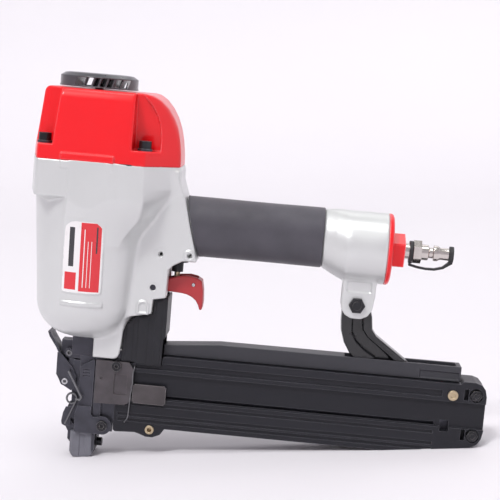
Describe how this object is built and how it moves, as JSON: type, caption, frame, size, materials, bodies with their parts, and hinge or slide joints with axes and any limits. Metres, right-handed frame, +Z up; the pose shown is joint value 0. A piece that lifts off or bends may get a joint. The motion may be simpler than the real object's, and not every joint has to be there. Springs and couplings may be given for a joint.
{
  "type": "flooring stapler",
  "caption": "Pneumatic flooring stapler with a cast body and handle, long staple magazine under it, hinged nose door, contact arm, trigger and air plug.",
  "frame": {"origin": "on the driver axis, in the plane of the nose pad's contact face at rest", "axes": "+Z up along the driver, +X back along the magazine and handle, Y across the tool"},
  "size_m": [0.3284, 0.0838, 0.2702],
  "materials": {
    "silver_paint": "satin silver-grey paint on a cast housing, fine texture",
    "red_paint": "bright red powder coat, semi-gloss",
    "trigger_red": "darker red paint on the trigger",
    "black_plastic": "moulded black plastic with a fine grain",
    "grip_rubber": "soft charcoal rubber sleeve",
    "black_coat": "satin black coating on aluminium",
    "dark_steel": "blackened steel",
    "phosphate_steel": "brown-grey phosphated steel sheet",
    "bright_steel": "plain bright steel",
    "black_screw": "black oxide fastener",
    "spring_steel": "drawn spring wire",
    "plug_nickel": "nickel-plated steel plug",
    "brass": "yellow-passivated rivet and pin heads",
    "seal_rubber": "black nitrile rubber",
    "pad_rubber": "mid grey no-mar rubber",
    "bumper_rubber": "firm urethane",
    "alloy": "machined aluminium",
    "valve_plastic": "off-white acetal",
    "brass_valve": "turned brass",
    "gasket_paper": "pressed fibre gasket",
    "plate_print": "plain plate, light field with red and dark bands, no lettering"
  },
  "bodies": {
    "tool": {"body_housing": "silver_paint", "cap_gasket": "gasket_paper", "cylinder_cap": "red_paint", "cap_screws": "black_screw", "cap_washers": "dark_steel", "deflector_screw": "black_screw", "head_valve_spring": "spring_steel", "cylinder_sleeve": "alloy", "sleeve_seals": "seal_rubber", "bumper": "bumper_rubber", "valve_body": "black_plastic", "valve_spring": "spring_steel", "trigger_pin": "bright_steel", "trigger_spring": "spring_steel", "roll_pins": "bright_steel", "grip_sleeve": "grip_rubber", "end_cap": "red_paint", "end_cap_seal": "seal_rubber", "air_plug": "plug_nickel", "dust_cap_ring": "seal_rubber", "driver_guide": "dark_steel", "front_block": "dark_steel", "nose_side_plates": "dark_steel", "guide_side_plates": "phosphate_steel", "nose_bolts": "black_screw", "contact_spring": "spring_steel", "safety_guard": "black_plastic", "magazine_left": "black_coat", "magazine_right": "black_coat", "staple_rail": "bright_steel", "top_rail": "black_coat", "follower_spring": "spring_steel", "magazine_pins": "brass", "magazine_bolts": "black_screw", "hex_nuts": "black_screw", "support_bracket": "black_coat", "bracket_bolt": "black_screw", "foot_screws": "black_screw", "name_plate": "plate_print"},
    "exhaust_top": {"exhaust_deflector": "black_plastic"},
    "head_valve_body": {"head_valve": "valve_plastic", "head_valve_seal": "seal_rubber"},
    "driver": {"piston": "alloy", "piston_seal": "seal_rubber", "driver_blade": "bright_steel", "driver_pin": "bright_steel"},
    "stem": {"valve_stem": "brass_valve"},
    "trigger_body": {"trigger": "trigger_red", "lever_pin": "bright_steel"},
    "lever_body": {"safety_lever": "dark_steel"},
    "contact": {"contact_arm": "dark_steel", "nose_pad": "pad_rubber", "pad_screw": "black_screw"},
    "door": {"nose_door": "dark_steel", "door_spring": "spring_steel", "latch_pin": "bright_steel"},
    "latch": {"latch_lever": "dark_steel"},
    "bail": {"latch_bail": "spring_steel"},
    "pusher": {"follower": "phosphate_steel"},
    "plug_cap": {"dust_cap": "seal_rubber"}
  },
  "joints": [
    {"name": "exhaust_swivel", "type": "hinge", "parent": "tool", "child": "exhaust_top", "pos_m": [-0.0025, 0, 0.262], "axis": [0, 0, 1], "continuous": true},
    {"name": "head_valve_lift", "type": "slide", "parent": "tool", "child": "head_valve_body", "axis": [0, 0, 1], "range_m": [0, 0.005], "stiffness_N_per_m": 900, "springref_m": -0.004, "deforming": ["head_valve_spring"]},
    {"name": "driver_stroke", "type": "slide", "parent": "tool", "child": "driver", "axis": [0, 0, -1], "range_m": [0, 0.063]},
    {"name": "trigger_pull", "type": "hinge", "parent": "tool", "child": "trigger_body", "pos_m": [0.047, 0, 0.1272], "axis": [0, -1, 0], "range_deg": [0, 9], "stiffness_Nm_per_rad": 0.25, "springref_deg": -8.59, "deforming": ["trigger_spring"]},
    {"name": "valve_stem_lift", "type": "slide", "parent": "tool", "child": "stem", "axis": [0, 0, 1], "range_m": [0, 0.0024], "stiffness_N_per_m": 1, "springref_m": 0.0165, "deforming": ["valve_spring"]},
    {"name": "safety_lever_tilt", "type": "hinge", "parent": "trigger_body", "child": "lever_body", "pos_m": [0.074, 0, 0.1297], "axis": [0, 1, 0], "range_deg": [0, 6]},
    {"name": "contact_slide", "type": "slide", "parent": "tool", "child": "contact", "axis": [0, 0, 1], "range_m": [0, 0.0075], "stiffness_N_per_m": 200, "springref_m": -0.02, "deforming": ["contact_spring"]},
    {"name": "door_swing", "type": "hinge", "parent": "tool", "child": "door", "pos_m": [-0.0074, 0, 0.0232], "axis": [0, -1, 0], "range_deg": [0, 90]},
    {"name": "latch_swing", "type": "hinge", "parent": "door", "child": "latch", "pos_m": [-0.0109, 0, 0.0537], "axis": [0, -1, 0], "range_deg": [0, 100]},
    {"name": "bail_swing", "type": "hinge", "parent": "latch", "child": "bail", "pos_m": [-0.0075, 0, 0.0616], "axis": [0, 1, 0], "range_deg": [0, 100]},
    {"name": "follower_slide", "type": "slide", "parent": "tool", "child": "pusher", "axis": [1, 0, 0], "range_m": [0, 0.185], "stiffness_N_per_m": 20, "springref_m": -0.15, "deforming": ["follower_spring"]},
    {"name": "dust_cap_swing", "type": "hinge", "parent": "tool", "child": "plug_cap", "pos_m": [0.2228, 0, 0.157], "axis": [0, 1, 0], "range_deg": [0, 110]}
  ],
  "couplings": [
    {"joint": "valve_stem_lift", "follows": "trigger_pull", "m_per_rad": 0.0145},
    {"joint": "safety_lever_tilt", "follows": "contact_slide", "rad_per_m": 12.5},
    {"joint": "bail_swing", "follows": "latch_swing", "ratio": 1}
  ]
}
